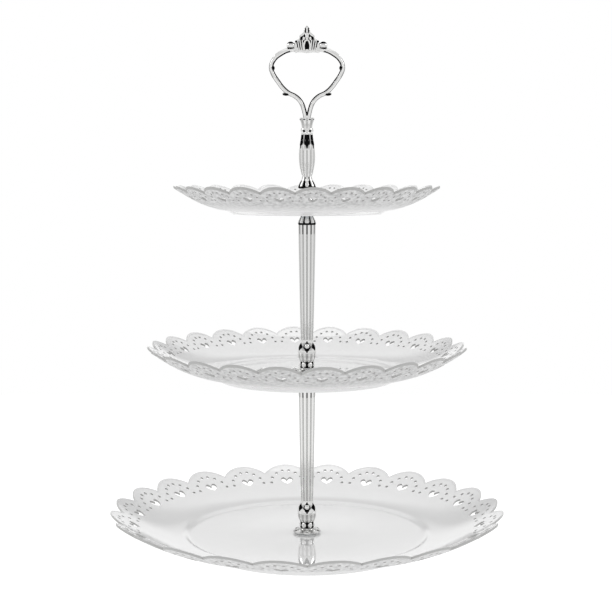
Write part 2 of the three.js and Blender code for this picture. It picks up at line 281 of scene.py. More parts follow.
# %% Milky vinyl of the gaskets
# Soft vinyl has an IOR of about 1.53 and a satin skin, uneven over about 2 mm.
vinyl, tree = new_material("milky_vinyl")
place = add_node(tree, "ShaderNodeTexCoord")
skin = add_node(tree, "ShaderNodeTexNoise", {"Scale": 1 / (2 * MM), "Detail": 2.0},
                {"Vector": place.outputs["Object"]})
satin = add_node(tree, "ShaderNodeMapRange", {"To Min": 0.4, "To Max": 0.55},
                 {"Value": skin.outputs["Fac"]})
shader = add_node(tree, "ShaderNodeBsdfPrincipled",
                  {"Base Color": linear("#E9EBEC"), "IOR": 1.53},
                  {"Roughness": satin.outputs[0]})
add_node(tree, "ShaderNodeOutputMaterial", {}, {"Surface": shader.outputs[0]})
print("vinyl ready")


# %% [markdown]
# ## The lace plates
#
# Each plate is one moulding: a flat dish with a small step round it, a flare that curls up
# to the rim, and 24 scallops with a heart and eight pinholes each. The lace could be a
# picture with clear patches, but real holes show how thick the sheet is and let light through.
# All the scallops are the same, so one 15 degree slice is modelled and then copied round. Its
# section is drawn as a line and spun, the holes are cut straight down, as the pins of a mould
# would leave them, and a thin bead runs round the scalloped edge.

# %% A line drawn through points
def drawn(name, points, closed=True, smooth=False):
    """A curve through the points, in mm."""
    clear()
    bpy.ops.curve.primitive_bezier_curve_add()
    curve = started(name)
    curve.data.dimensions = "3D"
    curve.data.splines.clear()
    spline = curve.data.splines.new("BEZIER" if smooth else "POLY")
    line = spline.bezier_points if smooth else spline.points
    line.add(len(points) - 1)
    for point, place in zip(line, points):
        if smooth:
            point.co = Vector(place) * MM
            point.handle_left_type = point.handle_right_type = "AUTO"
        else:
            point.co = [*(Vector(place) * MM), 1]
    spline.use_cyclic_u = closed
    return curve


def as_mesh(obj):
    take(obj)
    bpy.ops.object.convert(target="MESH")
    return obj


def prism(name, outline, push):
    """A closed outline, filled and pushed out into a block, in mm."""
    obj = as_mesh(drawn(name, outline))
    open_up(obj)
    bpy.ops.mesh.edge_face_add()
    bpy.ops.mesh.extrude_region_move(TRANSFORM_OT_translate={"value": [v * MM for v in push]})
    close_up()
    return obj


def cutter(name, outline, low, high):
    """A prism on a plan outline, from height low to high, in mm."""
    return prism(name, [(x, y, low) for x, y in outline], (0, 0, high - low))


def cut(obj, tool, operation, skin=None):
    """Cuts with the tool; the new walls take the given finish (on the plates, the painted shade of the
    cut walls), or else the piece's own finish.
    """
    tool.data.materials.append(skin or obj.data.materials[0])
    take(obj)
    boolean = obj.modifiers.new("cut", "BOOLEAN")
    boolean.operation = operation
    boolean.solver = "EXACT"
    boolean.object = tool
    boolean.material_mode = "TRANSFER"
    bpy.ops.object.modifier_apply(modifier="cut")
    bpy.data.objects.remove(tool)


print("drawing and cutting helpers ready")

# %% The shape of a scallop, from the rim's radius
SCALLOPS = 24
SLICE = 360 / SCALLOPS      # degrees
HALF = math.pi / SCALLOPS   # half a slice, in radians
DEPTH = 0.212               # of a scallop's width


def scallop(rim):
    """Centre, radius and half angle of the arc through a crest and its two valleys."""
    valley = rim - DEPTH * 2 * HALF * rim
    fall, side = rim - valley * math.cos(HALF), valley * math.sin(HALF)
    radius = (fall ** 2 + side ** 2) / (2 * fall)
    return rim - radius, radius, math.atan2(side, radius - fall)


# Lobes outwards and point inwards, in mm across and in from the crest, on a 140 mm rim.
DRAWN_RIM = 140
HEART = [(0, 16.2), (0.9, 14.4), (2.4, 13.2), (3.9, 13.6), (4.8, 15.2), (4.4, 17), (3, 18.8),
         (1.3, 20.1), (0, 20.9)]
PINHOLES = [(2.7, 6.3), (7.7, 8.9), (11.5, 13.5), (12.6, 19.3)]
PINHOLE = 1.2   # radius
print("centre and radius of a scallop, mm:", [round(v, 2) for v in scallop(DRAWN_RIM)[:2]])


# %% The section of a plate
SHEET = 2.2      # thickness at the dish
THINNING = 1.1   # how much thinner the sheet is at the rim
STEP_OUT = 1.6   # from the dish to the start of the flare
STEP_UP = 1.7    # from the dish floor to the start of the flare
HOLE = 3.6       # radius of the hole for the stud


def flare(r, sizes):
    """Height of the upper face above the dish floor at radius r, outside the step."""
    start = sizes["dish"] + STEP_OUT
    share = (r - start) / (sizes["rim"] - start)
    return STEP_UP + (sizes["rise"] - STEP_UP) * max(share, 0) ** sizes["power"]


def section(sizes):
    """The closed outline of half a plate, as radius and height from the dish floor. It runs
    3% past the rim, for the scalloped edge to be cut from."""
    dish, rim, drop = sizes["dish"], sizes["rim"], sizes["drop"]
    start, wall = dish + STEP_OUT, dish + 1.2
    foot = wall - sizes["foot_inset"]
    reach = [start + (rim * 1.03 - start) * i / 15 for i in range(1, 16)]
    under = [(r, flare(r, sizes) - SHEET + THINNING * (r - start) / (rim - start)) for r in reach]
    over = [(r, flare(r, sizes)) for r in reversed(reach)]
    step = [(start + 2, 1.65), (start + 0.8, 1.45), (start - 0.3, 1.1), (dish + 0.3, 0.6),
            (dish - 0.8, 0.22), (dish - 2, 0.05), (dish - 3.2, 0)]
    return [(HOLE, -SHEET), (foot - 2.4, -SHEET), (foot - 2.2, -drop + 0.3), (foot - 1.9, -drop),
            (foot - 0.4, -drop), (foot - 0.1, -drop + 0.3), (foot, -SHEET), (wall - 0.4, -SHEET),
            (start + 1.3, -0.9), *under, *over, *step, (dish * 0.5, 0), (HOLE, 0)]


print("section ready: the rim's edge is", round(SHEET - THINNING, 2), "mm thick")


# %% One slice of a plate
def turned_by(x, y, degrees):
    a = math.radians(degrees)
    return x * math.cos(a) - y * math.sin(a), x * math.sin(a) + y * math.cos(a)


def slice_of(name, sizes):
    """A closed 15 degree slice whose middle is at the plate's turn; spin goes clockwise."""
    floor, turn = sizes["floor"], sizes["turn"]
    line = [(*turned_by(r, 0, turn + SLICE / 2), floor + z) for r, z in section(sizes)]
    obj = as_mesh(drawn(name, line))
    open_up(obj)
    bpy.ops.mesh.spin(steps=14, angle=2 * HALF, center=(0, 0, 0), axis=(0, 0, 1))
    bpy.ops.mesh.select_all(action="SELECT")
    bpy.ops.mesh.fill_holes(sides=0)
    close_up()
    obj.data.materials.append(plastic)
    return obj


def pierce(obj, sizes):
    """Cuts the scalloped edge, the heart and the pinholes. The tools reach well past the
    slice: 6% past the valleys, behind the axis, and above and below the sheet."""
    rim, turn, floor = sizes["rim"], sizes["turn"], sizes["floor"]
    centre, radius, sweep = scallop(rim)
    low, high = floor - 20, floor + 40
    arc = [sweep * 1.06 * (i / 12 - 1) for i in range(25)]
    edge = [(centre + radius * math.cos(a), radius * math.sin(a)) for a in arc]
    edge += [(-12, rim * 0.4), (-12, -rim * 0.4)]
    outline = [turned_by(x, y, turn) for x, y in edge]
    # The walls cut for the edge, the heart and the pinholes are painted grey, as painted shade.
    cut(obj, cutter("edge", outline, low, high), "INTERSECT", painted_wall_shade)
    scale = rim / DRAWN_RIM
    left = [(-x, y) for x, y in HEART[-2:0:-1]]
    heart = [turned_by(rim - y * scale, x * scale, turn) for x, y in HEART + left]
    cut(obj, cutter("heart", heart, low, high), "DIFFERENCE", painted_wall_shade)
    pins = []
    for across, inset in PINHOLES:
        for side in (-1, 1):
            x, y = turned_by(rim - inset * scale, side * across * scale, turn)
            clear()
            bpy.ops.mesh.primitive_cylinder_add(
                vertices=12, radius=PINHOLE * scale * MM, depth=(high - low) * MM,
                location=(x * MM, y * MM, (low + high) / 2 * MM))
            pins.append(started("pin"))
    cut(obj, join("pins", pins), "DIFFERENCE", painted_wall_shade)


print("slice helpers ready")


# %% Copies of the slice, and the frosted outside with its painted shade
def copy_round(obj, turn):
    """Opens the slice's two cut sides and spins the other copies round the axis."""
    open_up(obj)
    sides = [Vector((*turned_by(0, s, turn + s * SLICE / 2), 0)) for s in (-1, 1)]

    def on_a_side(face):
        return any(face.normal.dot(n) > 0.999 and abs(face.center.dot(n)) < 0.02 * MM for n in sides)
    pick(obj, "polygons", on_a_side)
    bpy.ops.mesh.delete(type="FACE")
    bpy.ops.mesh.select_all(action="SELECT")
    others = SCALLOPS - 1
    bpy.ops.mesh.spin(steps=others, angle=2 * HALF * others, dupli=True, center=(0, 0, 0),
                      axis=(0, 0, 1))
    close_up(merge=0.01)


def frosted_and_shaded(obj, start):
    """Frosts the outside of the flare beyond the start radius, in mm, and gives it the painted shade
    of the sloping underside.
    """
    obj.data.materials.append(frost_and_shade)
    for face in obj.data.polygons:
        if face.material_index == 0 and face.normal.z < -0.2 and face.center.xy.length > start * MM:
            face.material_index = len(obj.data.materials) - 1


print("copying and frosting helpers ready")


# %% The bead along the scalloped edge
BEAD = 0.75   # radius


def bead(name, sizes):
    """One closed tube, just inside the edge and in the thickness of the sheet."""
    centre, radius, sweep = scallop(sizes["rim"])
    line = []
    for i in range(SCALLOPS):
        for k in range(10):
            a = sweep * (k / 5 - 1)
            x, y = centre + radius * math.cos(a), radius * math.sin(a)
            shrink = 1 - BEAD / math.hypot(x, y)
            x, y = x * shrink, y * shrink
            z = sizes["floor"] + flare(math.hypot(x, y), sizes) - 0.6
            line.append((*turned_by(x, y, sizes["turn"] + i * SLICE), z))
    curve = drawn(name, line)
    curve.data.bevel_depth = BEAD * MM
    curve.data.bevel_resolution = 2
    obj = as_mesh(curve)
    # The bead's outward faces are painted grey, as the painted shade along the plate's edge.
    for skin in (plastic, painted_wall_shade):
        obj.data.materials.append(skin)
    for face in obj.data.polygons:
        outwards = face.center.xy.normalized().dot(face.normal.xy)
        face.material_index = int(outwards > 0.05)
    return obj


print("bead helper ready")


# %% Finishing a piece
def finish_piece(obj, angle, finish, body, nodes, name):
    """Smooths edges flatter than the angle, and hands the piece over to the frame."""
    take(obj)
    bpy.ops.object.shade_smooth_by_angle(angle=math.radians(angle))
    if finish:
        obj.data.materials.clear()
        obj.data.materials.append(finish)
    obj.name = obj.data.name = name
    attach(obj, body)
    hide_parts(*nodes)
    tris = sum(len(p.vertices) - 2 for p in obj.data.polygons)
    print(name, "has", tris, "triangles")


def at_each(nodes, obj):
    """The piece, made at the first CAD node, and its copies at the others' heights. Each
    copy has its own mesh."""
    heights = [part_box(node)[0].z for node in nodes]
    pieces = [obj]
    for height in heights[1:]:
        take(obj)
        bpy.ops.object.duplicate()
        open_up(bpy.context.active_object)
        bpy.ops.transform.translate(value=(0, 0, height - heights[0]))
        bpy.ops.object.mode_set(mode="OBJECT")
        pieces.append(bpy.context.active_object)
    return pieces


print("finishing helpers ready")


# %% Make the three plates
# In mm: the dish's radius, the rim's height over it, the foot's depth and its inset. A plate's
# turn is in degrees, and the power gives the curl of its flare.
PLATES = {
    "bottom": {"dish": 85.6, "rise": 19.7, "drop": 8.2, "foot_inset": 8, "turn": 7.5, "power": 2.0},
    "middle": {"dish": 63.3, "rise": 20.6, "drop": 4, "foot_inset": 1.4, "turn": 5.5, "power": 2.0},
    "top": {"dish": 53.6, "rise": 16.9, "drop": 2.8, "foot_inset": 1.4, "turn": 2.5, "power": 1.8},
}
for tier, sizes in PLATES.items():
    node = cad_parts[f"{tier}_plate"]
    sizes["rim"] = max(math.hypot(v.co.x, v.co.y) for v in node.data.vertices) / MM
    sizes["floor"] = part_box(f"{tier}_gasket_over")[0].z / MM
    moulding = slice_of(tier, sizes)
    pierce(moulding, sizes)
    copy_round(moulding, sizes["turn"])
    frosted_and_shaded(moulding, sizes["dish"] + 4)
    moulding = join(tier, [moulding, bead("bead", sizes)])
    finish_piece(moulding, 32, None, f"{tier}_plate", [f"{tier}_plate"],
                 f"{tier}_plate_moulding")


# %% [markdown]
# ## The reeded castings
#
# A column is a stack of turned shapes whose surface is gathered into reeds. Each groove could
# be cut out of a turned bar, but that leaves ragged facets. So a reeded shape starts as a flat
# disc: the corners in its grooves are squeezed inwards, and the disc is then pulled up and
# scaled, ring by ring, to the profile. The reed count is 12 on the shafts and 8 on the
# petalled ends. The faces in the grooves are painted grey, and those that lie deep in the
# recesses are painted dark, as painted shade.

# %% A smooth profile and the three platings
DARK, GREY = 1, 2   # places of the painted dark and grey shades, after the chrome


def softened(rings, gap):
    """More rings between the given (height, radius) ones, on a smooth curve."""
    made = []
    for i in range(len(rings) - 1):
        before, a, b = rings[max(i - 1, 0)], rings[i], rings[i + 1]
        after = rings[min(i + 2, len(rings) - 1)]
        steps = max(1, round((b[0] - a[0]) / gap))
        slope_a = (b[1] - before[1]) / (b[0] - before[0])
        slope_b = (after[1] - a[1]) / (after[0] - a[0])
        span = b[0] - a[0]
        for k in range(steps):
            t = k / steps
            radius = ((1 + 2 * t) * (1 - t) ** 2 * a[1] + t ** 2 * (3 - 2 * t) * b[1]
                      + span * (t * (1 - t) ** 2 * slope_a - t ** 2 * (1 - t) * slope_b))
            made.append((a[0] + span * t, radius))
    return made + [rings[-1]]


def from_nearest(angle, count, first=-90):
    """Degrees from the nearest of count places spread evenly round, one of them at first."""
    pitch = 360 / count
    return abs((angle - first + pitch / 2) % pitch - pitch / 2)


def everywhere(angle, height, face):
    return True


def plated(obj, test=None, finish=DARK):
    """Chrome all over, and painted shade, dark unless another finish is given, on the faces that pass
    the test.
    """
    if not obj.data.materials:
        for metal in (chrome, dark, groove_shade):
            obj.data.materials.append(metal)
    for face in obj.data.polygons:
        x, y, z = face.center / MM
        if test and test(math.degrees(math.atan2(y, x)), z, face):
            face.material_index = finish
    return obj


print("profile and plating helpers ready")


# %% A reeded form
GROOVE = 79   # degrees on each side of a groove, shared out over the reeds


def reeded(name, rings, reeds, bite, facets=8, groove_at=-90):
    """rings are (height, radius) in mm from the bottom up; bite is the groove's depth as a
    share of the radius."""
    clear()
    bpy.ops.mesh.primitive_circle_add(vertices=reeds * facets, radius=rings[0][1] * MM,
                                      fill_type="NGON", location=(0, 0, rings[0][0] * MM))
    obj = started(name)
    bpy.ops.object.transform_apply(location=True)
    bpy.ops.object.mode_set(mode="EDIT")
    top = Vector((0, 0, rings[0][0] * MM))

    def phase(vertex):
        angle = math.degrees(math.atan2(vertex.co.y, vertex.co.x)) - groove_at
        return round(angle / 360 * reeds * facets) % facets
    for step in range(facets):
        depth = bite * (1 - abs(math.sin(math.pi * step / facets)))
        if depth > 1e-6:
            pick(obj, "vertices", lambda v: phase(v) == step)
            bpy.ops.transform.resize(value=(1 - depth, 1 - depth, 1), center_override=top)
    bpy.ops.mesh.select_all(action="SELECT")
    for (z0, r0), (z1, r1) in zip(rings, rings[1:]):
        rise = (z1 - z0) * MM
        bpy.ops.mesh.extrude_region_move(TRANSFORM_OT_translate={"value": (0, 0, rise)})
        bpy.ops.transform.resize(value=(r1 / r0, r1 / r0, 1), center_override=(0, 0, z1 * MM))
    close_up()
    # The faces next to each groove are painted grey, as painted shade.
    width = GROOVE / reeds if bite else 0
    return plated(obj, lambda angle, height, face: from_nearest(angle, reeds, groove_at) < width,
                  GREY)


print("reeding helper ready")


# %% A turned form and a ring of copies
def turned(name, profile, steps=48):
    """A lathe: the outline of (radius, height) points, in mm, spun about the axis."""
    closed = profile[0][0] > 0
    obj = as_mesh(drawn(name, [(r, 0, z) for r, z in profile], closed=closed))
    open_up(obj)
    bpy.ops.mesh.spin(steps=steps, angle=2 * math.pi, center=(0, 0, 0), axis=(0, 0, 1))
    close_up(merge=0.002)
    return plated(obj)


def ring_of_beads(name, count, at, z, size, first=-90):
    """count egg-shaped beads at radius at; size is (radial, across, upright), in mm."""
    clear()
    bpy.ops.mesh.primitive_uv_sphere_add(segments=16, ring_count=10, radius=MM)
    obj = started(name)
    open_up(obj)
    bpy.ops.transform.resize(value=size)
    bpy.ops.transform.translate(value=(at * MM, 0, z * MM))
    bpy.ops.mesh.spin(steps=count - 1, angle=2 * math.pi * (count - 1) / count, dupli=True,
                      center=(0, 0, 0), axis=(0, 0, 1))
    bpy.ops.object.mode_set(mode="OBJECT")
    obj.rotation_euler.z = math.radians(first)
    bpy.ops.object.transform_apply(rotation=True)
    return plated(obj)


print("turning helpers ready")


# %% [markdown]
# ## Rosettes
#
# A rosette is a washer of pressed, plated metal with eight petals, a pit between each two of
# them, painted dark as shade, and a small knob at the root of each. The petals could be cut
# and bent one by one, but the reeded form gives them at once, and beads sunk in it give the
# pits and the knobs. Its grooves are painted grey, as shade. The three rosettes are alike, so
# one is made and copied upwards.

# %% Make the rosettes
def rosette(name, z):
    """z is the underside of the rosette, in mm."""
    rings = [(z, 9.6), (z + 0.3, 10), (z + 1.0, 10), (z + 1.4, 9.5), (z + 1.75, 7.6),
             (z + 2.2, 5.8), (z + 2.4, 5.2)]
    body = reeded(name, rings, 8, 0.06, facets=10, groove_at=-67.5)
    pits = ring_of_beads("pits", 8, 8.3, z + 1.5, (0.7, 0.9, 0.25), first=-67.5)
    # The pits are painted dark all over, as painted shade.
    plated(pits, everywhere)
    knobs = ring_of_beads("knobs", 8, 6.5, z + 1.8, (1.2, 1.3, 0.55))
    return join(name, [body, pits, knobs])


rosettes = ("lower_rosette", "upper_rosette", "handle_rosette")
first_rosette = rosette("rosette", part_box("lower_rosette")[0].z / MM)
for node, piece in zip(rosettes, at_each(rosettes, first_rosette)):
    finish_piece(piece, 40, None, node, [node], f"{node}_pressing")


# %% [markdown]
# ## Columns
#
# Both columns are the same casting. From the foot: a ring of beads, a reeded bulb, a smooth
# collar of six lozenges painted dark as shade and dark reflection, with an oval boss in every
# other one, the long reeded shaft that swells upwards, and a dome of eight petals. The core
# behind the beads, the top of the shaft under the plate and the dome's underside and grooves
# are painted dark too, as painted shade and reflection. One profile could run from end to end,
# but the reeds change in number along it, so each part is a form of its own and they are
# joined.

# %% The foot's beads and the collar's lozenges
def foot_beads(z):
    """The ring of beads with its core painted dark as the shade between them, and the lip under it, as
    a list.
    """
    core = turned("core", [(0, z), (4.6, z), (4.9, z + 1), (4.9, z + 4), (4.6, z + 5.2), (0, z + 5.2)])
    # The core is painted dark between the lip and the top, as painted shade behind the beads.
    plated(core, lambda angle, height, face: z + 0.2 < height < z + 5)
    beads = ring_of_beads("beads", 6, 3.7, z + 2.8, (1.85, 2.05, 2.4), first=-60)
    lip = turned("lip", [(0, z), (5.0, z), (5.0, z + 0.5), (4.2, z + 0.9), (0, z + 0.9)])
    return [core, beads, lip]


def lozenge(angle, height, middle):
    """True inside a lozenge, painted dark as shade and dark reflection; those without a boss are not
    as tall.
    """
    half_height = 4.3 if from_nearest(angle, 3) < 30 else 3.1
    return from_nearest(angle, 6) / 30 + abs(height - middle) / half_height < 1


print("foot and collar helpers ready")


# %% Make the columns
def column(name, z):
    """z is the foot of the column, in mm."""
    bulb = [(z + 4.6, 4.5), (z + 5.4, 5.2), (z + 7.4, 6.3), (z + 10.1, 6.7), (z + 12.2, 6.6),
            (z + 13.2, 5.9)]
    low = reeded(name, softened(bulb, 0.6), 12, 0.13)
    cone = [(z + 11, 6.2), (z + 11.8, 6.6), (z + 14.2, 6.15), (z + 16, 5.6), (z + 18.3, 4.85),
            (z + 20, 4.5), (z + 20.6, 4.4)]
    collar = reeded("collar", softened(cone, 0.4), 12, 0)
    # The lozenges on the smooth collar are painted dark, as painted shade and reflection.
    plated(collar, lambda angle, height, face: lozenge(angle, height, z + 15.9))
    ovals = ring_of_beads("ovals", 3, 4.8, z + 15.7, (1.25, 1.9, 2.4))
    shaft = [(z + 20, 4.5), (z + 24, 4.6), (z + 28, 4.8), (z + 39, 5.1), (z + 60, 5.55),
             (z + 80, 5.95), (z + 97, 6.25), (z + 102, 6.28), (z + 104, 5.9)]
    high = reeded("shaft", softened(shaft, 1.6), 12, 0.12)
    # The top of the shaft, under the plate, and its upper grooves are painted dark, as the plate's
    # painted shade and dark reflection.
    plated(high, lambda angle, height, face: height > z + 101.4
           or height > z + 95 and from_nearest(angle, 12) < 5)
    dome = [(z + 102.0, 5.4), (z + 102.5, 6.15), (z + 103.4, 6.3), (z + 104.6, 6.1),
            (z + 106, 5.45), (z + 107.5, 4.7), (z + 108.5, 4.3)]
    petals = reeded("petals", softened(dome, 0.4), 8, 0.12, groove_at=-67.5)
    # The dome's underside and the grooves between its petals are painted dark, as painted shade.
    plated(petals, lambda angle, height, face: height < z + 103.4
           or from_nearest(angle, 8, -67.5) < 6.5)
    return join(name, [low, collar, ovals, high, petals, *foot_beads(z)])


columns = ("lower_column", "upper_column")
first_column = column("column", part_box("lower_column")[0].z / MM)
for node, piece in zip(columns, at_each(columns, first_column)):
    finish_piece(piece, 38, None, node, [node], f"{node}_casting")


# %% [markdown]
# ## Handle
#
# The handle stands on a ring of beads and a bell of eight petals, painted dark between and
# under the petals as shade. Over them is a reeded baluster, whose smooth neck carries six
# five-sided recesses, and a flared cup holds the loop. Like the columns, it is made in parts.
# The recesses could be cut in, but they are so shallow that painted dark shade inside their
# outline stands in for them, and small painted dark dots as shade sit higher up the neck.

# %% Make the baluster
def baluster(name, z):
    """z is the foot of the handle, in mm."""
    bell = [(z + 11.3, 4.4), (z + 11.6, 5.5), (z + 12.3, 6.15), (z + 13.4, 6.15), (z + 15.2, 5.3),
            (z + 17.4, 4.1), (z + 19.7, 3.35)]
    bell_body = reeded(name, softened(bell, 0.4), 8, 0.16, groove_at=-67.5)

    # The bell is painted dark between its petals and under them, as painted shade.
    def between_petals(angle, height, face):
        gap = from_nearest(angle, 8, -67.5)
        share_down = (z + 19.7 - height) / 8.4
        return gap < 7 + 5 * share_down or height < z + 13.9 - 0.06 * gap
    plated(bell_body, between_petals)
    body = [(z + 19.6, 3.4), (z + 22, 4.2), (z + 26, 5.15), (z + 30.5, 5.75), (z + 34.8, 5.85),
            (z + 38.5, 5.65), (z + 41.8, 5.1), (z + 45.5, 4.45), (z + 48.6, 4.1), (z + 51, 4.2),
            (z + 52.6, 4.45), (z + 53.4, 4.0)]
    body_form = reeded("body", softened(body[:8], 1.0), 12, 0.09)
    neck = reeded("neck", softened([(z + 38.0, 5.3), *body[6:]], 0.4), 12, 0)

    # The five-sided recesses and the dots above them are painted dark, as painted shade.
    def recess_shade(angle, height, face):
        across = from_nearest(angle, 6)
        narrow = min(1, max(0, (height - z - 38.8) / 4.2))
        window = height < z + 49.2 and across < 27.5 * narrow
        dot = z + 50.6 < height < z + 52.4 and from_nearest(angle, 6, -60) < 13
        return window or dot
    plated(neck, recess_shade)
    stem = turned("stem", [(0, z + 4), (4.4, z + 4), (4.2, z + 7), (3.9, z + 9), (4.4, z + 11.4),
                           (0, z + 11.4)])
    bosses = ring_of_beads("bosses", 6, 3.45, z + 49.9, (1.1, 1.6, 1.4))
    return join(name, [bell_body, body_form, neck, stem, bosses, *foot_beads(z)])


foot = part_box("handle_column")[0].z / MM
finish_piece(baluster("handle", foot), 38, None, "handle", ["handle_column"],
             "handle_baluster_casting")


# %% Make the cup
def cup(name, z):
    """z is the underside of the cup, in mm."""
    rings = [(z, 3.8), (z + 1.4, 3.95), (z + 3.4, 4.35), (z + 5.4, 4.95), (z + 6.6, 5.35),
             (z + 7.2, 5.25), (z + 7.1, 4.3), (z + 5.8, 3.5), (z + 5.2, 2.3)]
    bowl = reeded(name, rings, 8, 0.07, facets=10)
    # Inside the rim the bowl is painted dark, as painted shade, and so are the eyes round it.
    plated(bowl, lambda angle, height, face: face.center.xy.length < 3.9 * MM
           and z + 5.1 < height < z + 6.9)
    eyes = plated(ring_of_beads("eyes", 8, 4.85, z + 6.1, (0.55, 0.9, 0.55), first=-67.5),
                  everywhere)
    return join(name, [bowl, eyes])


foot, rim = (corner.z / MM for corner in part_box("handle_cup"))
finish_piece(cup("cup", foot), 38, None, "handle", ["handle_cup"],
             "handle_cup_casting")


# %% [markdown]
# ## Crown loop
#
# The loop is cast in one with its thorns, balls and crown. The wire is a round strand with
# thin ones laid along its two sides, painted dark as the shade beside it. The crown has ribs
# fanned between a base bar and a bead that follows its outline, a small niche in the middle,
# and a thin web behind them, painted dark as the shade there. It could be sculpted from one
# lump, but a curve with a round bevel gives each bar its even section and its tapered ends.
# The dark caps of the balls and the dark joints, thorn tips, eyes, lobes and bud grooves are
# painted shade and painted reflection too.

# %% Strands of the loop
LOOP = [(0.9, 0.2), (2.0, 5.2), (4.0, 10.6), (7.8, 14.7), (12.9, 17.3), (16.6, 20.5),
        (20.1, 25), (23.9, 31), (24.9, 35.1), (22.9, 40.2), (18.4, 44), (12.9, 46.6), (6, 47.4)]


def tube(name, points, radius, smooth=True, ends=None):
    """A round bar along the points; ends scales its radius at each point."""
    curve = drawn(name, points, closed=False, smooth=smooth)
    spline = curve.data.splines[0]
    line = spline.bezier_points if smooth else spline.points
    for point, share in zip(line, ends or [1] * len(points)):
        point.radius = share
    curve.data.resolution_u = 6
    curve.data.bevel_depth = radius * MM
    curve.data.bevel_resolution = 3
    curve.data.use_fill_caps = True
    return plated(as_mesh(curve))


def beside(points, offset):
    """The line shifted sideways in its own plane."""
    made = []
    for i, (x, z) in enumerate(points):
        before, after = points[max(i - 1, 0)], points[min(i + 1, len(points) - 1)]
        run = Vector((after[0] - before[0], after[1] - before[1])).normalized()
        made.append((x + run.y * offset, z - run.x * offset))
    return made


parts = []
# The two thin strands along each side are painted dark all over, as painted shade.
for side in (-1, 1):
    for offset, thick, in_shade in ((0.2, 1.2, False), (-0.95, 0.65, True), (1.3, 0.3, True)):
        line = [(side * x, 0, rim + z) for x, z in beside(LOOP, offset)]
        strand = tube("strand", line, thick)
        parts.append(plated(strand, everywhere) if in_shade else strand)
print("loop strands:", len(parts))


# %% Ball, thorn and knob on each side
def ball(name, place, radii, dark_part=False):
    """An egg-shaped lump with the three radii, in mm."""
    clear()
    bpy.ops.mesh.primitive_uv_sphere_add(segments=24, ring_count=14, radius=MM)
    obj = started(name)
    open_up(obj)
    bpy.ops.transform.resize(value=radii)
    bpy.ops.transform.translate(value=Vector(place) * MM)
    bpy.ops.object.mode_set(mode="OBJECT")
    return plated(obj, everywhere if dark_part else None)


BALL_UP = 49.7       # the balls' centres, above the cup's rim
BRIGHT_BELT = 1.05   # half the height of the bright belt round a ball
# A ball is painted dark above and below its bright belt, as painted reflection of the dark room; the
# joint and the thorn's tip are painted dark all over, as painted shade.
for side in (-1, 1):
    sphere = ball("ball", (side * 11.3, 0, rim + BALL_UP), (2.9, 2.9, 2.9))
    parts.append(plated(sphere, lambda angle, height, face:
                        abs(height - rim - BALL_UP) > BRIGHT_BELT))
    parts.append(ball("cuff", (side * 10.4, 0, rim + 46.9), (2.7, 1.9, 1.5)))
    parts.append(ball("knob", (side * 25.1, 0, rim + 34.8), (1.0, 1.7, 1.3)))
    parts.append(ball("joint", (side * 23.4, 0, rim + 34.4), (0.95, 1.5, 1.5), dark_part=True))
    leaf = [(side * 12.2, 0, rim + 17.2), (side * 14.4, 0, rim + 17), (side * 17.2, 0, rim + 16.8)]
    parts.append(tube("thorn", leaf, 1.15, ends=[0.7, 1, 0.35]))
    parts.append(ball("thorn_tip", (side * 14.6, 0, rim + 16.4), (2.5, 1.3, 1.15), dark_part=True))
    curl = [(side * x, 0, rim + z) for x, z in ((13.6, 48), (17.6, 46), (21.2, 43.6), (24.2, 40.2))]
    parts.append(tube("curl", curl, 0.85, ends=[0.5, 1, 1, 0.4]))
print("sides of the loop done")

# %% Crown
crest = rim + 45.9   # the crown's base bar
OUTLINE = [(8.3, 0.6), (8.2, 3), (7.8, 5.8), (6.0, 7.6), (4.8, 9.8), (2.9, 11.5), (1.5, 12.7)]
edge = [(x, 0, crest + z) for x, z in OUTLINE]
for side in (-1, 1):
    parts.append(tube("outline", [(side * x, y, z) for x, y, z in edge], 0.9))
    for foot_x, head_x, head_z in ((2.6, 3.3, 7.8), (3.8, 5.0, 7.8), (5.2, 6.4, 6.6), (6.8, 7.6, 5.0)):
        for depth in (-0.9, 0.9):
            rib = [(side * foot_x, depth, crest + 0.4), (side * head_x, depth, crest + head_z)]
            parts.append(tube("rib", rib, 0.48, smooth=False))
    # The eyes and lobes are painted dark all over, as the painted shade in the crown's openings.
    parts.append(ball("eye", (side * 3.9, 0, crest + 9.3), (0.95, 1.5, 0.95), dark_part=True))
    parts.append(ball("lobe", (side * 7.5, 0, crest + 6.6), (0.9, 1.5, 0.9), dark_part=True))
    parts.append(ball("scroll", (side * 2.3, 0, crest + 8.6), (1.1, 1.9, 1.6)))
bar = [(-8.6, 0, crest), (-4.3, 0, crest + 0.35), (0, 0, crest - 0.2), (4.3, 0, crest + 0.35),
       (8.6, 0, crest)]
parts.append(tube("bar", bar, 1.15))
arch = [(-1.9, 0, crest + 0.6), (-1.9, 0, crest + 5), (0, 0, crest + 7.6), (1.9, 0, crest + 5),
        (1.9, 0, crest + 0.6)]
for depth in (-1.1, 1.1):
    parts.append(tube("arch", [(x, depth, z) for x, _, z in arch], 0.65))
parts.append(ball("cup", (0, 0, crest + 0.6), (1.9, 1.9, 1.2)))
parts.append(ball("mast", (0, 0, crest + 10.4), (1.5, 1.7, 3.0)))
print("loop and crown pieces so far:", len(parts))

# %% Web, bud and stem, then join the casting
whole_outline = OUTLINE + [(-x, z) for x, z in reversed(OUTLINE)]
# The web is painted dark all over, as the painted shade behind the ribs.
web = prism("web", [(x, 0.5, crest + z) for x, z in whole_outline], (0, -1, 0))
parts.append(plated(web, everywhere))
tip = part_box("crown_loop")[1].z / MM
swell = [(tip - 6.2, 1.0), (tip - 5.2, 1.5), (tip - 3.9, 2.45), (tip - 2.4, 2.2), (tip - 1.0, 1.0),
         (tip - 0.1, 0.25)]
bud = reeded("bud", softened(swell, 0.4), 6, 0.16, groove_at=-60)
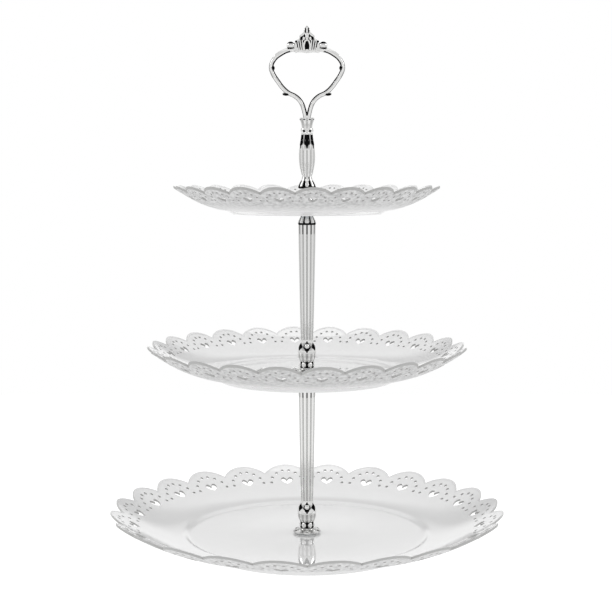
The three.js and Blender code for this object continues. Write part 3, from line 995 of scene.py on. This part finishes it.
# The bud's grooves are painted dark, as painted shade.
parts.append(plated(bud, lambda angle, height, face: from_nearest(angle, 6, -60) < 13))
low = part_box("crown_loop")[0].z / MM
parts.append(turned("stem", [(0, low), (2.2, low), (2.2, rim - 1), (1.9, rim + 1.5), (0, rim + 2.6)]))
finish_piece(join("loop", parts), 45, None, "handle", ["crown_loop"], "crown_loop_casting")


# %% [markdown]
# ## Threads
#
# The studs and the base screw are M6 rod of zinc-plated steel. A real thread is a helix, and
# could be spun as one, but at this size it can't be told from a stack of rings. So the thread
# is a zigzag profile with a 1 mm pitch, spun. The screw's head has a cross cut in it.

# %% Make the studs
ROOT, CREST = 2.45, 2.98   # radii of the thread


def thread(z0, z1):
    """Radius and height along an M6 thread, with a lead-in at the top."""
    line = []
    for i in range(int(z1 - z0) - 1):
        line += [(ROOT, z0 + i + 0.15), (CREST, z0 + i + 0.6)]
    return line + [(2.2, z1)]


studs = ("lower_stud", "upper_stud")
low, high = (corner.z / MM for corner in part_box("lower_stud"))
first_stud = turned("stud", [(0, low), (2.9, low), *thread(low, high), (0, high)], steps=32)
for node, column_node, piece in zip(studs, columns, at_each(studs, first_stud)):
    finish_piece(piece, 30, zinc, column_node, [node], f"{node}_rod")

# %% Make the base screw
low, high = (corner.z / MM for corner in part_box("base_screw"))
head = [(0, low), (4.0, low), (5.2, low + 0.6), (5.9, low + 1.5), (6, low + 2.6),
        (CREST, low + 2.6)]
screw = turned("screw", [*head, *thread(low + 3, high), (0, high)], steps=32)
for turn in (0, 90):
    slot = [(5.2, 0.7), (-5.2, 0.7), (-5.2, -0.7), (5.2, -0.7)]
    outline = [turned_by(x, y, turn) for x, y in slot]
    cut(screw, cutter("slot", outline, low - 1, low + 1.2), "DIFFERENCE")
finish_piece(screw, 30, zinc, "base_screw", ["base_screw"], "base_screw_rod")


# %% [markdown]
# ## Washers and gaskets
#
# Between the plates and the castings lie plain flat rings: three zinc-plated washers and six
# soft gaskets. They could be turned again, but the frame's own rings already have their whole
# shape, so these nine keep their meshes and only take a finish.

# %% Finish the washers and gaskets
for name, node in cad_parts.items():
    if "gasket" in name or "washer" in name:
        node.data.materials.clear()
        node.data.materials.append(vinyl if "gasket" in name else zinc)
print("gaskets and washers finished")


# %% [markdown]
# ## Studio
#
# The stand is shown on white paper under soft light. A room of one even white would be simpler,
# but chrome needs something darker to mirror, or it looks like white plaster. So the room is
# white at the stand's height and grey below it, with a darker band a little above it and a light
# grey overhead, and it is a little darker to the sides. Only what the stand mirrors is graded:
# seen directly, the room is plain white. Three large softboxes add gentle shading from above.
# The camera stands nearly a metre in front, a little above the top plate, and looks slightly
# down.

# %% Floor
# The paper glows a little, as if lit from behind, so it stays white without hard light on the
# stand. What mirrors it sees it slightly greyer.
clear()
bpy.ops.mesh.primitive_plane_add(size=1.3, location=(0, 0, -0.0005))
floor = started("floor")
paper, tree = new_material("white_paper")
ray = add_node(tree, "ShaderNodeLightPath")
glow = add_node(tree, "ShaderNodeMapRange", {"To Min": 0.8, "To Max": 0.95},
                {"Value": ray.outputs["Is Camera Ray"]})
shader = add_node(tree, "ShaderNodeBsdfPrincipled",
                  {"Base Color": linear("#8A8A8A"), "Roughness": 0.9, "Specular IOR Level": 0.0,
                   "Emission Color": (1, 1, 1, 1)}, {"Emission Strength": glow.outputs[0]})
add_node(tree, "ShaderNodeOutputMaterial", {}, {"Surface": shader.outputs[0]})
floor.data.materials.append(paper)
print("floor ready")

# %% Room light
world = bpy.data.worlds.new("studio")
bpy.context.scene.world = world
world.use_nodes = True
tree = world.node_tree
tree.nodes.clear()
place = add_node(tree, "ShaderNodeTexCoord")
direction = add_node(tree, "ShaderNodeSeparateXYZ", {}, {"Vector": place.outputs["Generated"]})
climb = add_node(tree, "ShaderNodeMapRange", {"From Min": -1.0}, {"Value": direction.outputs["Z"]})
height = add_node(tree, "ShaderNodeValToRGB", {}, {"Fac": climb.outputs[0]})
ramp = height.color_ramp
# From straight down (0) over eye level (0.5) to straight up (1), and how bright it is there.
stops = [(0.0, 0.5), (0.35, 0.7), (0.42, 0.93), (0.62, 0.97), (0.66, 0.5), (0.71, 0.5),
         (0.77, 0.85), (1.0, 0.72)]
while len(ramp.elements) < len(stops):
    ramp.elements.new(0.5)
for element, (position, value) in zip(ramp.elements, stops):
    element.position = position
    element.color = (value, value, value, 1)
sideways = add_node(tree, "ShaderNodeMath", {"operation": "ABSOLUTE"})
tree.links.new(direction.outputs["X"], sideways.inputs[0])
sides = add_node(tree, "ShaderNodeMapRange", {"From Min": 0.35, "To Min": 1.05, "To Max": 0.88},
                 {"Value": sideways.outputs[0]})
level = add_node(tree, "ShaderNodeMath", {"operation": "MULTIPLY"})
tree.links.new(height.outputs[0], level.inputs[0])
tree.links.new(sides.outputs[0], level.inputs[1])
room = add_node(tree, "ShaderNodeBackground", {"Strength": 1.0}, {"Color": level.outputs[0]})
seen = add_node(tree, "ShaderNodeBackground", {"Color": (1, 1, 1, 1), "Strength": 1.0})
ray = add_node(tree, "ShaderNodeLightPath")
mix = add_node(tree, "ShaderNodeMixShader", {}, {"Fac": ray.outputs["Is Camera Ray"]})
tree.links.new(room.outputs[0], mix.inputs[1])
tree.links.new(seen.outputs[0], mix.inputs[2])
add_node(tree, "ShaderNodeOutputWorld", {}, {"Surface": mix.outputs[0]})
print("room light ready")


# %% Softboxes
def softbox(name, place, aim, size, power):
    clear()
    bpy.ops.object.light_add(type="AREA", location=place)
    light = bpy.context.active_object
    light.name = name
    light.data.shape = "RECTANGLE"
    light.data.size, light.data.size_y = size
    light.data.energy = power
    towards = Vector(aim) - Vector(place)
    light.rotation_euler = towards.to_track_quat("-Z", "Y").to_euler()


softbox("overhead", (0, 0.1, 1.6), (0, 0, 0.1), (1.4, 1.0), 3.5)
softbox("left_high", (-1.35, 0.1, 1.05), (0, 0, 0.1), (0.9, 0.6), 4.5)
softbox("right_high", (1.35, 0.1, 1.05), (0, 0, 0.1), (0.9, 0.6), 4.5)
print("softboxes ready")

# %% Camera
clear()
bpy.ops.object.camera_add(location=(-0.0007, -0.9569, 0.2671), rotation=(math.radians(84.33), 0, 0))
camera = bpy.context.active_object
camera.data.lens = 79.85
camera.data.sensor_width = 36
camera.data.clip_start, camera.data.clip_end = 0.01, 100
bpy.context.scene.camera = camera
bpy.context.scene.view_settings.view_transform = "Standard"
print("camera ready")
